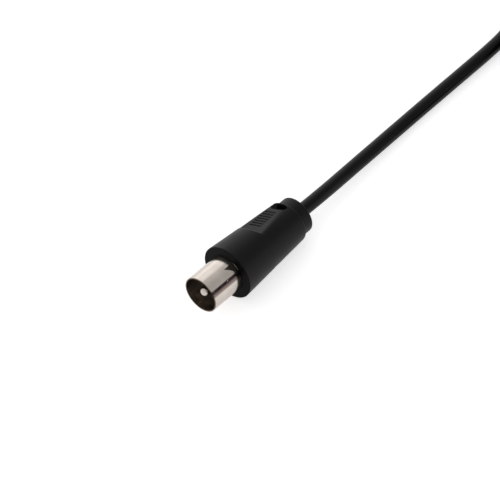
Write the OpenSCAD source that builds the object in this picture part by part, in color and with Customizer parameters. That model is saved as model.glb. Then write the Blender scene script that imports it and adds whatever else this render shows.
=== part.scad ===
// Coaxial aerial lead: a moulded push-fit aerial plug at each end of a thin round cord.
// The near plug lies on its tapered flank as a loose lead comes to rest.
// The spare cord is wound into a coil, and the far plug lies beside the coil.
// Each plug is drawn upright, with its axis along Z and its mouth at Z = 0.

/* [Cord] */
// Outside diameter of the cord
cord_d = 3.5; // [3.2:0.1:4]
// Diameter over the braided screen
braid_d = 2.6; // [2.4:0.1:2.8]
// Diameter of the foamed core
core_d = 2; // [1.7:0.1:2.2]
// Diameter of the copper conductor
conductor_d = 0.5; // [0.3:0.1:0.7]

/* [Contact sleeve] */
// Outside diameter of the sleeve that enters the socket
sleeve_d = 9.525; // [9.3:0.025:9.7]
// Thickness of the rolled sheet
sleeve_wall = 0.3; // [0.2:0.05:0.4]
// How far the sleeve stands out of the grip
sleeve_length = 9.8; // [9:0.1:11]
// Gap where the rolled edges meet
seam_gap = 0.35; // [0.2:0.05:0.6]
// Where the seam lies, round the axis from the middle of a pad
seam_turn = 80; // [70:1:100]
// Length of the notch in front of the grip
notch_length = 3.15; // [2:0.05:4]
// Where the notch's straight edge lies, round the axis from the middle of a pad
notch_turn = 48; // [40:1:60]
// How far in front of the grip the sleeve begins to step in
step_gap = 0.1; // [0.05:0.05:0.2]
// Length of the necked part inside the grip
neck_length = 5.5; // [4.5:0.1:6]
// Length of the strip that joins the neck to the claw
bridge_length = 4; // [3:0.1:5]
// Width of that strip
bridge_width = 2; // [1.5:0.1:2.4]
// Length of the claw that grips the screen
claw_length = 4; // [3:0.1:5]
// Gap between the two lips of the claw
claw_gap = 0.6; // [0.3:0.1:1]

/* [Centre pin] */
// Diameter of the pin
pin_d = 2.34; // [2.2:0.02:2.5]
// How far the tip of the pin sits behind the mouth
pin_setback = 0.3; // [0:0.1:1]
// Diameter of the collar that the insulator holds
pin_collar_d = 3.4; // [3:0.1:4]
// Thickness of that collar
pin_collar = 1.5; // [1:0.1:2]
// Diameter of the pin behind its collar
pin_tail_d = 2; // [1.8:0.1:2.2]
// Diameter of the hole that takes the conductor
pin_bucket_d = 1.1; // [0.9:0.1:1.3]
// Depth of that hole
pin_bucket_depth = 2.4; // [2:0.1:3]
// How far the pin reaches behind the insulator
pin_reach = 3; // [2.6:0.1:3.2]
// Height of the solder bead on the end of the pin
solder_bead = 0.4; // [0.2:0.1:0.6]

/* [Insulator] */
// Depth of the insulator's face behind the mouth
insulator_depth = 8; // [7:0.1:8.6]
// Thickness of the insulator
insulator_length = 4; // [3.4:0.1:4.4]

/* [Inner moulding] */
// Diameter of the narrow end
inner_tail_d = 5.6; // [5.2:0.1:6]
// How far the inner moulding covers the jacket behind the claw
inner_cover = 1.4; // [1:0.1:2]
// Bare core between the claw and the pin's solder
core_clearance = 0.5; // [0.3:0.1:0.8]

/* [Grip] */
// Diameter of the grip at its front face
grip_front_d = 14.27; // [13.6:0.01:15]
// Length of the tapered part
grip_length = 21.6; // [21:0.1:23]
// Taper of the flank, measured from the axis
grip_taper = 4.26; // [3.8:0.02:4.6]
// Rounding of the front rim
rim_round = 0.4; // [0.2:0.1:0.8]
// Diameter of the collar round the cord
collar_d = 9.66; // [9:0.02:9.8]
// Length of that collar
collar_length = 3.3; // [2.6:0.1:5]
// Rounding of the collar's rear edge
collar_round = 0.6; // [0.2:0.1:1]

/* [Finger pads] */
// Distance from the front face to the crease where a pad begins
pad_start = 10.4; // [9:0.1:11]
// Distance of the pad from the axis at its crease
pad_height = 4.9; // [4.7:0.05:5.1]
// Rise of the pad towards the cord
pad_slope = 1.64; // [0:0.02:2]
// Slope of the ramp in front of the crease
ramp_slope = 37; // [25:1:50]
// Number of grip slots across each pad
slots = 7; // [3:1:7]
// Distance from the crease to the first slot
slot_start = 2.2; // [1.8:0.1:2.4]
// Distance from one slot to the next
slot_pitch = 0.92; // [0.8:0.02:0.94]
// Width of a slot
slot_width = 0.45; // [0.3:0.05:0.6]
// Length of a slot across the pad
slot_span = 3.8; // [3:0.1:4.4]
// Depth of a slot
slot_depth = 0.9; // [0.5:0.1:1]

/* [Relief window] */
// Distance from the crease to the window
window_start = 9.2; // [8.8:0.1:9.6]
// Length of the window along the axis
window_length = 2.6; // [2:0.1:3]
// Width of the window across the pad
window_span = 5.2; // [4:0.1:6]
// Skin left between the window and the cord
window_skin = 0.7; // [0.5:0.1:1]

/* [Coil] */
// Radius of the middle column of turns
coil_r = 17.5; // [17:0.5:20]
// Columns of turns side by side
coil_columns = 3; // [2:1:3]
// Rows of turns on each other
coil_rows = 4; // [3:1:4]
// Width of the tie that holds the turns
tie_width = 4; // [3:0.5:6]
// Thickness of the tie
tie_thick = 0.5; // [0.4:0.1:0.8]
// Where the tie lies round the coil
tie_turn = 20; // [0:5:45]
// Length of the tie's twisted ends
tie_ends = 8; // [4:1:10]
// Diameter of the tie's twisted ends
tie_ends_d = 1.6; // [1.2:0.1:2]

/* [Lie] */
// Turn of each plug about its own axis as it lies
plug_roll = 32; // [20:1:40]

/* [Hidden] */
$fn = 64;
// Overlap of a cutter past the face that it cuts
past = 1;

// Distances along the axis of a plug, from the mouth
sleeve_r = sleeve_d / 2;
neck_r = sleeve_r - sleeve_wall;
step_z = sleeve_length - step_gap;
neck_z = step_z + sleeve_wall;
neck_end_z = neck_z + neck_length;
claw_z = neck_end_z + bridge_length;
claw_end_z = claw_z + claw_length;
jacket_z = claw_end_z;
inner_end_z = jacket_z + inner_cover;
insulator_end_z = insulator_depth + insulator_length;
pin_end_z = insulator_end_z + pin_reach;
bucket_z = pin_end_z - pin_bucket_depth;
core_z = pin_end_z + solder_bead + core_clearance;
grip_end_z = sleeve_length + grip_length;
exit_z = grip_end_z + collar_length;
crease_z = sleeve_length + pad_start;

// Radius that the flank would have at the mouth, which sets how high the axis lies
flank_r = grip_front_d / 2 + sleeve_length * tan(grip_taper);
axis_lift = flank_r * cos(grip_taper);
half_length = exit_z * cos(grip_taper) / 2;

// Where the far plug lies, and which way it points
far_place = [81.4, -32];
far_heading = -5;

// The coil, and where the cord joins it and leaves it as angles round its centre
coil_centre = [120, -16];
join_turn = 105;
leave_turn = -100;
leave_row = 2;
stub_length = 13;

// The cord's route behind the near plug and in front of the coil, in the plane of the floor and up
lead_route = [[23, 0, 4.75], [30, 0.2, 3.95], [38, 0.4, 3.1], [47, 0.5, 2.4], [56, 0.3, 1.95], [65, 0, 1.75],
    [73, -0.4, 1.75], [81, -0.8, 1.75], [89, -1, 1.75], [95, -0.6, 1.75]];
cord_sides = 8;

function flank(z) = flank_r - z * tan(grip_taper);
function arc(centre, r, from, to, steps = 8) =
    [for (i = [0:steps]) centre + r * [cos(from + (to - from) * i / steps), sin(from + (to - from) * i / steps)]];
function unit(v) = v / norm(v);

// The point on a plug's axis at distance z from its mouth, as the plug lies
function on_axis(z, place, heading) =
    let (along = z * cos(grip_taper) - half_length)
    [place[0] + along * cos(heading), place[1] + along * sin(heading), axis_lift - z * sin(grip_taper)];
function axis_way(heading) =
    [cos(grip_taper) * cos(heading), cos(grip_taper) * sin(heading), -sin(grip_taper)];

// A point on a turn of the coil, and the way that a clockwise turn runs there
outer_turn_r = coil_r + cord_d * (coil_columns - 1) / 2;
function row_z(row) = cord_d * (row - 0.5);
function on_turn(angle, row) = [coil_centre[0] + outer_turn_r * cos(angle),
    coil_centre[1] + outer_turn_r * sin(angle), row_z(row)];
function turn_way(angle) = [sin(angle), -cos(angle), 0];

// The ring of points round the cord at one point of its route
function ring_at(p, way) =
    let (side = unit(cross([0, 0, 1], way)), up = cross(way, side))
    [for (i = [0:cord_sides - 1])
        let (a = (i + 0.5) * 360 / cord_sides) p + cord_d / 2 * (cos(a) * side + sin(a) * up)];

// A tube of cord along points, whose end faces look along first_way and last_way
module tube(points, first_way, last_way) {
    last = len(points) - 1;
    ways = [for (i = [0:last])
        i == 0 ? first_way : i == last ? last_way : unit(points[i + 1] - points[i - 1])];
    rings = [for (i = [0:last]) each ring_at(points[i], ways[i])];
    sides = [for (i = [0:last - 1], k = [0:cord_sides - 1])
        let (a = i * cord_sides + k, b = i * cord_sides + (k + 1) % cord_sides)
        [a + cord_sides, b + cord_sides, b, a]];
    start_face = [for (k = [0:cord_sides - 1]) k];
    end_face = [for (k = [cord_sides - 1:-1:0]) last * cord_sides + k];
    polyhedron(rings, concat([start_face], sides, [end_face]));
}

// A straight piece of the cord's own section
module stub(from, way, length) {
    translate(from) multmatrix(column_frame(way))
        rotate([0, 0, 180 / cord_sides]) cylinder(d = cord_d, h = length, $fn = cord_sides);
}
function column_frame(way) =
    let (side = unit(cross([0, 0, 1], way)), up = cross(way, side))
    [[side[0], up[0], way[0], 0], [side[1], up[1], way[1], 0], [side[2], up[2], way[2], 0]];

// Lays an upright plug on its flank
module lay(place, heading) {
    translate([place[0], place[1], axis_lift]) rotate([0, 0, heading]) translate([-half_length, 0, 0])
        rotate([0, grip_taper, 0]) rotate([-plug_roll, 0, 0]) rotate([180, -90, 0]) children();
}
module near() {
    lay([0, 0], 0) children();
}
module far() {
    lay(far_place, far_heading) children();
}

// A cylinder between two heights
module rod(d, from, to) {
    translate([0, 0, from]) cylinder(d = d, h = to - from);
}

// The moulded grip: a cone with a rounded rim and a plain collar behind it
module grip_form() {
    rim_z = sleeve_length + rim_round;
    rim_c = (axis_lift - rim_round - rim_z * sin(grip_taper)) / cos(grip_taper);
    collar_c = [collar_d / 2 - collar_round, exit_z - collar_round];
    rotate_extrude($fn = 96) polygon(concat(
        [[0, sleeve_length]],
        arc([rim_c, rim_z], rim_round, -90, grip_taper),
        [[flank(grip_end_z), grip_end_z], [collar_d / 2, grip_end_z]],
        arc(collar_c, collar_round, 0, 90),
        [[0, exit_z]]));
}

// What is cut away above one finger pad, drawn as its outline from the side
module pad_cut() {
    reach = grip_front_d;
    outline = [[pad_height, crease_z],
        [pad_height + (exit_z + past - crease_z) * tan(pad_slope), exit_z + past],
        [reach, exit_z + past],
        [reach, crease_z - (reach - pad_height) / tan(ramp_slope)]];
    rotate([90, 0, 0]) translate([0, 0, -reach]) linear_extrude(2 * reach) polygon(outline);
}

// The height of the pad above the axis at distance z from the mouth
function pad_at(z) = pad_height + (z - crease_z) * tan(pad_slope);

// The row of slots across one pad
module slot_row() {
    for (i = [0:slots - 1]) {
        z = crease_z + slot_start + i * slot_pitch;
        translate([pad_at(z) - slot_depth, -slot_span / 2, z - slot_width / 2])
            cube([slot_depth + past, slot_span, slot_width]);
    }
}

// The window behind the slots, straight in front and round at its two ends
module window_cut() {
    end_r = window_length / 2;
    bed = cord_d / 2 + window_skin;
    translate([bed, 0, crease_z + window_start]) rotate([0, 90, 0]) linear_extrude(grip_front_d / 2) union() {
        for (s = [-1, 1]) translate([-end_r, s * (window_span / 2 - end_r)]) circle(end_r);
        translate([-window_length, end_r - window_span / 2]) square([window_length, window_span - 2 * end_r]);
        translate([-end_r, -window_span / 2]) square([end_r, window_span]);
    }
}

// Outside of all that the grip is moulded round
module core_form() {
    rotate_extrude() polygon([[0, sleeve_length - past], [sleeve_r, sleeve_length - past], [sleeve_r, step_z],
        [neck_r, neck_z], [neck_r, neck_end_z], [inner_tail_d / 2, claw_end_z], [inner_tail_d / 2, inner_end_z],
        [0, inner_end_z]]);
    rod(cord_d, inner_end_z - past, exit_z + past);
}
module plug_grip() {
    color([0.05, 0.05, 0.055]) difference() {
        grip_form();
        for (side = [0, 180]) rotate([0, 0, side]) {
            pad_cut();
            slot_row();
            window_cut();
        }
        core_form();
    }
}

// The rolled sleeve: plain front, neck, strip and claw, all of one sheet
module sleeve_form() {
    rotate_extrude() polygon([[neck_r, 0], [sleeve_r, 0], [sleeve_r, step_z], [neck_r, neck_z],
        [neck_r, neck_end_z], [neck_r - sleeve_wall, neck_end_z], [neck_r - sleeve_wall, neck_z],
        [neck_r, step_z]]);
}
// The notch runs from its straight edge to the seam, and ends behind the grip's face
module notch_cut() {
    half_width = sleeve_r * sin((seam_turn - notch_turn) / 2);
    notch_end_z = (sleeve_length + neck_z) / 2;
    rotate([0, 0, (notch_turn + seam_turn) / 2]) rotate([90, 0, 90]) linear_extrude(sleeve_d)
        polygon([[-half_width, sleeve_length - notch_length], [half_width, notch_end_z],
            [-half_width, notch_end_z]]);
}
module plug_sleeve() {
    color([0.8, 0.76, 0.7]) {
        difference() {
            sleeve_form();
            rotate([0, 0, seam_turn]) translate([0, -seam_gap / 2, -past])
                cube([sleeve_d, seam_gap, neck_end_z + 2 * past]);
            notch_cut();
        }
        sleeve_bridge();
        sleeve_claw();
    }
}
// The strip that joins the neck to the claw on one side, running on into the wall of each
module sleeve_bridge() {
    claw_r = braid_d / 2;
    lap = sleeve_wall;
    intersection() {
        rotate_extrude() polygon([[neck_r - sleeve_wall, neck_end_z - lap], [neck_r, neck_end_z - lap],
            [neck_r, neck_end_z], [claw_r + sleeve_wall, claw_z], [claw_r + sleeve_wall, claw_z + lap],
            [claw_r, claw_z + lap], [claw_r, claw_z], [neck_r - sleeve_wall, neck_end_z]]);
        translate([-bridge_width / 2, -sleeve_d, neck_end_z - past])
            cube([bridge_width, sleeve_d, bridge_length + 2 * past]);
    }
}
module sleeve_claw() {
    difference() {
        rod(braid_d + 2 * sleeve_wall, claw_z, claw_end_z);
        rod(braid_d, claw_z - past, claw_end_z + past);
        translate([-claw_gap / 2, 0, claw_z - past]) cube([claw_gap, sleeve_d, claw_length + 2 * past]);
    }
}

// The pin: round tip, collar and a hollow tail for the conductor
module plug_pin() {
    tip_r = pin_d / 2;
    color([0.85, 0.83, 0.78]) difference() {
        union() {
            translate([0, 0, pin_setback + tip_r]) sphere(tip_r);
            rod(pin_d, pin_setback + tip_r, insulator_depth);
            rod(pin_collar_d, insulator_depth, insulator_depth + pin_collar);
            rod(pin_tail_d, insulator_depth + pin_collar, pin_end_z);
        }
        rod(pin_bucket_d, bucket_z, pin_end_z + past);
    }
}

// The disc that holds the pin in the middle of the sleeve
module plug_insulator() {
    color([0.16, 0.13, 0.11]) difference() {
        rotate_extrude() polygon([[0, insulator_depth], [neck_r, insulator_depth], [neck_r, step_z],
            [neck_r - sleeve_wall, neck_z], [neck_r - sleeve_wall, insulator_end_z], [0, insulator_end_z]]);
        rod(pin_collar_d, insulator_depth - past, insulator_depth + pin_collar);
        rod(pin_tail_d, insulator_depth, insulator_end_z + past);
    }
}

// The inner moulding that closes the joint before the grip is moulded round it
module plug_inner() {
    bore_r = neck_r - sleeve_wall;
    color([0.85, 0.85, 0.8]) difference() {
        rotate_extrude() polygon([[0, insulator_end_z], [bore_r, insulator_end_z], [bore_r, neck_end_z],
            [neck_r, neck_end_z], [inner_tail_d / 2, claw_end_z], [inner_tail_d / 2, inner_end_z],
            [0, inner_end_z]]);
        sleeve_bridge();
        sleeve_claw();
        rod(pin_tail_d, insulator_end_z - past, pin_end_z);
        plug_solder_form();
        rod(conductor_d, pin_end_z, core_z);
        rod(core_d, core_z, claw_z);
        rod(braid_d, claw_z, jacket_z);
        rod(cord_d, jacket_z, inner_end_z + past);
    }
}

// The end of the cord inside the plug, stripped back in steps
module plug_jacket() {
    color([0.04, 0.04, 0.04]) difference() {
        rod(cord_d, jacket_z, exit_z);
        rod(braid_d, jacket_z - past, exit_z + past);
    }
}
module plug_braid() {
    color([0.72, 0.45, 0.3]) difference() {
        rod(braid_d, claw_z, exit_z);
        rod(core_d, claw_z - past, exit_z + past);
    }
}
module plug_core() {
    color([0.9, 0.9, 0.88]) difference() {
        rod(core_d, core_z, exit_z);
        rod(conductor_d, core_z - past, exit_z + past);
    }
}
module plug_conductor() {
    color([0.75, 0.45, 0.28]) rod(conductor_d, bucket_z, exit_z);
}

// Solder fills the pin's hole round the conductor and stands a little proud
module plug_solder_form() {
    rod(pin_bucket_d, bucket_z, pin_end_z);
    translate([0, 0, pin_end_z]) cylinder(d1 = pin_tail_d, d2 = pin_bucket_d, h = solder_bead);
}
module plug_solder() {
    color([0.7, 0.7, 0.72]) difference() {
        plug_solder_form();
        rod(conductor_d, bucket_z - past, pin_end_z + solder_bead + past);
    }
}

// The cord from the near plug to the coil
module cord_lead() {
    join = on_turn(join_turn, 1);
    way = turn_way(join_turn);
    color([0.04, 0.04, 0.04]) tube(concat([on_axis(exit_z, [0, 0], 0)], lead_route, [join - stub_length * way]),
        axis_way(0), way);
}

// The coil's outer shape: all its turns as one ring, and the two straight ends that leave it
module cord_coil() {
    half_width = coil_columns * cord_d / 2;
    color([0.04, 0.04, 0.04]) difference() {
        union() {
            translate(coil_centre) rotate_extrude($fn = 96) coil_section(half_width);
            stub(on_turn(join_turn, 1) - stub_length * turn_way(join_turn), turn_way(join_turn), stub_length);
            stub(on_turn(leave_turn, leave_row), turn_way(leave_turn), stub_length);
        }
        tie_band();
    }
}
// The section of the turns: columns and rows, with one more turn on the middle of the top
module coil_section(half_width) {
    translate([coil_r - half_width, 0]) square([2 * half_width, coil_rows * cord_d]);
    translate([coil_r - cord_d / 2, 0]) square([cord_d, (coil_rows + 1) * cord_d]);
}

// The cord from the coil to the far plug
module cord_tail() {
    leave = on_turn(leave_turn, leave_row) + stub_length * turn_way(leave_turn);
    plug_exit = on_axis(exit_z, far_place, far_heading);
    color([0.04, 0.04, 0.04]) tube([plug_exit, (plug_exit + leave) / 2, leave], axis_way(far_heading),
        -turn_way(leave_turn));
}

// The band of the tie, flush with the turns, which it nips together
module tie_outline(inset) {
    half_width = coil_columns * cord_d / 2 - inset;
    top = coil_rows * cord_d;
    lid = top + cord_d - inset;
    slant = inset * tan(22.5);
    polygon([[-half_width, inset], [half_width, inset], [half_width, top - slant],
        [cord_d / 2 - slant, lid], [slant - cord_d / 2, lid], [-half_width, top - slant]]);
}
module tie_band() {
    translate(coil_centre) rotate([0, 0, tie_turn]) translate([coil_r, tie_width / 2, 0]) rotate([90, 0, 0])
        linear_extrude(tie_width) difference() {
            tie_outline(0);
            tie_outline(tie_thick);
        }
}
module coil_tie() {
    inside = coil_r - coil_columns * cord_d / 2;
    color([0.03, 0.03, 0.03]) {
        tie_band();
        translate([coil_centre[0], coil_centre[1], coil_rows * cord_d / 2]) rotate([0, -90, tie_turn])
            translate([0, 0, -inside]) cylinder(d = tie_ends_d, h = tie_ends);
    }
}

near() plug_grip();  // grip_moulding
near() plug_sleeve();  // contact_sleeve
near() plug_pin();  // centre_pin
near() plug_insulator();  // insulator
near() plug_inner();  // inner_moulding
near() plug_jacket();  // jacket_end
near() plug_braid();  // braid_end
near() plug_core();  // core_end
near() plug_conductor();  // conductor_end
near() plug_solder();  // pin_solder
cord_lead();
cord_coil();
cord_tail();
coil_tie();
far() plug_grip();  // far_grip_moulding
far() plug_sleeve();  // far_contact_sleeve
far() plug_pin();  // far_centre_pin
far() plug_insulator();  // far_insulator
far() plug_inner();  // far_inner_moulding
far() plug_jacket();  // far_jacket_end
far() plug_braid();  // far_braid_end
far() plug_core();  // far_core_end
far() plug_conductor();  // far_conductor_end
far() plug_solder();  // far_pin_solder
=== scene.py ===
"""Dresses a coaxial aerial lead: two moulded push-fit plugs, a thin round cord in a coil, and its tie."""
import math

import bpy
import numpy as np
from bpy.props import FloatProperty, FloatVectorProperty, IntProperty, PointerProperty
from mathutils import Matrix, Vector


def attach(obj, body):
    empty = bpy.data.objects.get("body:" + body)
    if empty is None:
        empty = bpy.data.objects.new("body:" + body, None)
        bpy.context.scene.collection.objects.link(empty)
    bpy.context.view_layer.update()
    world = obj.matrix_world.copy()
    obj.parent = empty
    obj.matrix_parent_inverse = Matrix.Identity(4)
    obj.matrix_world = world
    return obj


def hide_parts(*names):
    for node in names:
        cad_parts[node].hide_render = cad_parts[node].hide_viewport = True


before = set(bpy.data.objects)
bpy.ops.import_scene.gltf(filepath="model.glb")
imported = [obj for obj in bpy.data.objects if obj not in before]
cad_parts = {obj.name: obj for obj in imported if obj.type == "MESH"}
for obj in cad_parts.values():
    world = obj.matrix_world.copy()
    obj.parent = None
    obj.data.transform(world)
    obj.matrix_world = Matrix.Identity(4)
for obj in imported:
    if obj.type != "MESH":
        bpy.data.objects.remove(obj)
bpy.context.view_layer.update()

bl_info = {
    "name": "Coaxial Aerial Lead",
    "version": (1, 0, 0),
    "blender": (4, 5, 0),
    "location": "3D View > Sidebar > Aerial Lead",
    "description": "Builds a coaxial aerial lead with a moulded plug at each end of a coiled cord",
    "category": "Add Mesh",
}

MM = 0.001
BODY = "root"
# How far along a piece its UV map's v grows by one
UV_LENGTH = 10 * MM
# The nodes inside a plug that keep the CAD shape, and the material slot of each
INNER_SLOTS = {
    "insulator": "dark_insulator", "inner_moulding": "pale_moulding", "jacket_end": "cord_jacket",
    "braid_end": "copper_braid", "core_end": "pale_core", "conductor_end": "copper_core",
    "pin_solder": "solder",
}


def length(name, description, millimetres):
    """A length property whose default is given in millimetres."""
    return FloatProperty(name=name, description=description, default=millimetres * MM, unit="LENGTH",
                         precision=5)


def angle(name, description, degrees):
    """An angle property whose default is given in degrees."""
    return FloatProperty(name=name, description=description, default=math.radians(degrees), unit="ROTATION")


def colour(name, description, red, green, blue):
    """A colour property in linear light."""
    return FloatVectorProperty(name=name, description=description, default=(red, green, blue),
                               subtype="COLOR", min=0.0, max=1.0)


def amount(name, description, default):
    """A plain number property."""
    return FloatProperty(name=name, description=description, default=default)


class PlugSizes(bpy.types.PropertyGroup):
    """Sizes of one plug, measured along its axis from the mouth of its sleeve."""
    sleeve_diameter: length("Sleeve diameter", "Outside of the rolled sleeve", 9.525)
    sleeve_wall: length("Sleeve wall", "Thickness of the rolled sheet", 0.3)
    edge_round: length("Edge rounding", "Rounding of the sheet's edges", 0.11)
    sleeve_length: length("Sleeve length", "How far the sleeve stands out of the grip", 9.8)
    step_gap: length("Step gap", "How far in front of the grip the sleeve begins to step in", 0.1)
    neck_length: length("Neck length", "Necked part of the sleeve inside the grip", 5.5)
    seam_gap: length("Seam gap", "Gap where the rolled edges meet", 0.35)
    seam_turn: angle("Seam turn", "Where the seam lies, from the middle of a pad", 80)
    notch_length: length("Notch length", "Length of the notch in front of the grip", 3.15)
    notch_turn: angle("Notch turn", "Where the notch's straight edge lies", 48)
    bridge_length: length("Strip length", "Length of the strip between neck and claw", 4)
    bridge_width: length("Strip width", "Width of that strip", 2)
    claw_length: length("Claw length", "Length of the claw on the screen", 4)
    claw_gap: length("Claw gap", "Gap between the lips of the claw", 0.6)
    braid_diameter: length("Screen diameter", "Diameter over the braided screen", 2.6)
    pin_diameter: length("Pin diameter", "Diameter of the centre pin", 2.34)
    pin_setback: length("Pin setback", "How far the pin's tip sits behind the mouth", 0.5)
    pin_collar_diameter: length("Pin collar diameter", "Collar that the insulator holds", 3.4)
    pin_collar: length("Pin collar", "Thickness of that collar", 1.5)
    pin_tail_diameter: length("Pin tail diameter", "Pin behind its collar", 2)
    pin_bucket_diameter: length("Pin hole", "Hole that takes the conductor", 1.1)
    pin_bucket_depth: length("Pin hole depth", "Depth of that hole", 2.4)
    pin_reach: length("Pin reach", "How far the pin reaches behind the insulator", 3)
    insulator_depth: length("Insulator depth", "Depth of its face behind the mouth", 8)
    insulator_length: length("Insulator length", "Thickness of the insulator", 4)
    inner_tail_diameter: length("Inner tail", "Narrow end of the inner moulding", 5.6)
    inner_cover: length("Inner cover", "Inner moulding behind the claw", 1.4)
    grip_diameter: length("Grip diameter", "Grip at its front face", 14.27)
    grip_length: length("Grip length", "Length of the tapered part", 21.6)
    flank_run: length("Flank run-on", "How far the flank runs on over the collar", 0.4)
    grip_taper: angle("Grip taper", "Taper of the flank from the axis", 4.26)
    grip_lip: length("Grip lip", "How far the grip's face laps over the step in the sleeve", 0.2)
    rim_round: length("Rim rounding", "Rounding of the front rim", 0.1)
    collar_diameter: length("Collar diameter", "Collar round the cord", 9.66)
    collar_length: length("Collar length", "Length of that collar", 3.3)
    rear_run: length("Rear run-on", "How far the collar's rounded rear stands past the cord's exit", 0.3)
    collar_round: length("Collar rounding", "Rounding of its rear edge", 0.25)
    pad_start: length("Pad start", "From the front face to a pad's crease", 10.4)
    pad_height: length("Pad height", "Distance of a pad from the axis at its crease", 4.95)
    pad_slope: angle("Pad slope", "Rise of a pad towards the cord", 1.64)
    pad_tilt: angle("Pad tilt", "Tilt of a pad's plane across it", 4)
    pad_round: length("Pad rounding", "Reach of the blend along a pad's edge", 0.34)
    ramp_lean: angle("Ramp lean", "Lean of the ramp in front of the crease from square to the axis", 37)
    slots: IntProperty(name="Slots", description="Number of slots across each pad", default=7)
    slot_start: length("Slot start", "From the crease to the first slot", 2.2)
    slot_pitch: length("Slot pitch", "From one slot to the next", 0.92)
    slot_width: length("Slot width", "Width of a slot", 0.45)
    slot_span: length("Slot span", "Length of a slot across the pad", 3.8)
    slot_depth: length("Slot depth", "Depth of a slot", 0.9)
    window_start: length("Window start", "From the crease to the window", 9.1)
    window_length: length("Window length", "Window along the axis", 2.3)
    window_span: length("Window span", "Window across the pad", 4.7)
    window_shift: length("Window shift", "How far the window sits off the pad's middle", 0.6)
    window_ramp: length("Window ramp", "Length of the sloping wall at the window's rear", 0.5)
    window_skin: length("Window skin", "Skin between window and cord", 0.7)
    roll: angle("Roll", "Turn of the plug about its axis as it lies", 32)


class CordSizes(bpy.types.PropertyGroup):
    """Sizes and places of the cord, its coil and the tie."""
    diameter: length("Cord diameter", "Outside of the cord", 3.5)
    coil_x: length("Coil X", "Middle of the coil", 120)
    coil_y: length("Coil Y", "Middle of the coil", -16)
    coil_radius: length("Coil radius", "Radius of the middle column of turns", 17.5)
    join_turn: angle("Join turn", "Where the cord joins the coil", 105)
    leave_turn: angle("Leave turn", "Where the cord leaves the coil", -100)
    stub: length("Straight ends", "Straight cord where it joins and leaves the coil", 13)
    tie_turn: angle("Tie turn", "Where the tie lies round the coil", 20)
    tie_width: length("Tie width", "Width of the tie", 4)
    tie_thickness: length("Tie thickness", "Thickness of the tie", 0.5)
    tie_ends: length("Tie ends", "Length of the twisted ends", 8)
    far_x: length("Far plug X", "Middle of the far plug", 81.4)
    far_y: length("Far plug Y", "Middle of the far plug", -32)
    far_heading: angle("Far heading", "Which way the far plug points", -5)


class FinishColours(bpy.types.PropertyGroup):
    """Colours of the finishes."""
    vinyl: colour("Grip vinyl", "Satin black moulded vinyl", 0.0026, 0.0026, 0.0029)
    jacket: colour("Cord jacket", "Extruded black vinyl", 0.0022, 0.0022, 0.0024)
    nickel: colour("Sleeve nickel", "Warm bright nickel plate", 0.77, 0.695, 0.63)
    pin: colour("Pin nickel", "Turned and plated pin", 0.64, 0.60, 0.56)
    insulator: colour("Insulator", "Dark plastic disc", 0.022, 0.015, 0.011)
    pale: colour("Inner moulding", "Waxy pale plastic", 0.72, 0.71, 0.64)
    core: colour("Core", "Foamed core", 0.82, 0.82, 0.79)
    copper: colour("Copper", "Bare copper", 0.72, 0.36, 0.22)
    solder: colour("Solder", "Dull solder", 0.55, 0.55, 0.56)
    tie: colour("Tie", "Covered wire tie", 0.008, 0.008, 0.009)


class StageSettings(bpy.types.PropertyGroup):
    """Camera, floor and light."""
    azimuth: angle("Camera azimuth", "Camera's turn round the object", -49.0)
    elevation: angle("Camera elevation", "Camera's height above the floor as an angle", 51.75)
    distance: length("Camera distance", "From the camera to what it looks at", 1200)
    lens: amount("Lens", "Focal length in millimetres", 368.0)
    look_right: length("Look right", "How far to the right of the near mouth the camera looks", 11.61)
    look_up: length("Look up", "How far above the near mouth in the picture the camera looks", 10.56)
    floor_half: length("Floor", "Half of the floor's side", 3000)
    floor_gap: length("Floor gap", "How far the floor lies below the lead's lowest point", 0.02)
    room_light: amount("Room light", "Strength of the light from all round", 0.95)
    lamp_side: length("Lamp side", "Side of the soft lamp", 1600)
    lamp_power: amount("Lamp power", "Power of the soft lamp in watts", 2.4)


def plug_places(plug):
    """Distances from the mouth to the plug's steps, in the order in which they come."""
    step = plug.sleeve_length - plug.step_gap
    neck = step + plug.sleeve_wall
    neck_end = neck + plug.neck_length
    claw = neck_end + plug.bridge_length
    claw_end = claw + plug.claw_length
    grip_end = plug.sleeve_length + plug.grip_length
    return {
        "step": step, "neck": neck, "neck_end": neck_end, "claw": claw, "claw_end": claw_end,
        "inner_end": claw_end + plug.inner_cover,
        "crease": plug.sleeve_length + plug.pad_start,
        "grip_end": grip_end + plug.flank_run, "exit": grip_end + plug.collar_length,
        "rear": grip_end + plug.collar_length + plug.rear_run,
    }


def axis_lift(plug):
    """Height of the axis at the mouth when the flank lies on the floor."""
    flank = plug.grip_diameter / 2 + plug.sleeve_length * math.tan(plug.grip_taper)
    return flank * math.cos(plug.grip_taper)


def lay_matrix(plug, x, y, heading):
    """Lays an upright plug on its flank: onto its side, rolled, tapered down, centred and turned."""
    half = plug_places(plug)["exit"] * math.cos(plug.grip_taper) / 2
    return (Matrix.Translation((x, y, axis_lift(plug))) @ Matrix.Rotation(heading, 4, "Z")
            @ Matrix.Translation((-half, 0, 0)) @ Matrix.Rotation(plug.grip_taper, 4, "Y")
            @ Matrix.Rotation(-plug.roll, 4, "X") @ Matrix.Rotation(-math.pi / 2, 4, "Y")
            @ Matrix.Rotation(math.pi, 4, "X"))


def both_ends():
    """The name prefix and the matrix of the near and of the far plug."""
    plug = bpy.context.scene.aerial_plug
    cord = bpy.context.scene.aerial_cord
    return (("", lay_matrix(plug, 0, 0, 0)),
            ("far_", lay_matrix(plug, cord.far_x, cord.far_y, cord.far_heading)))


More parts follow.
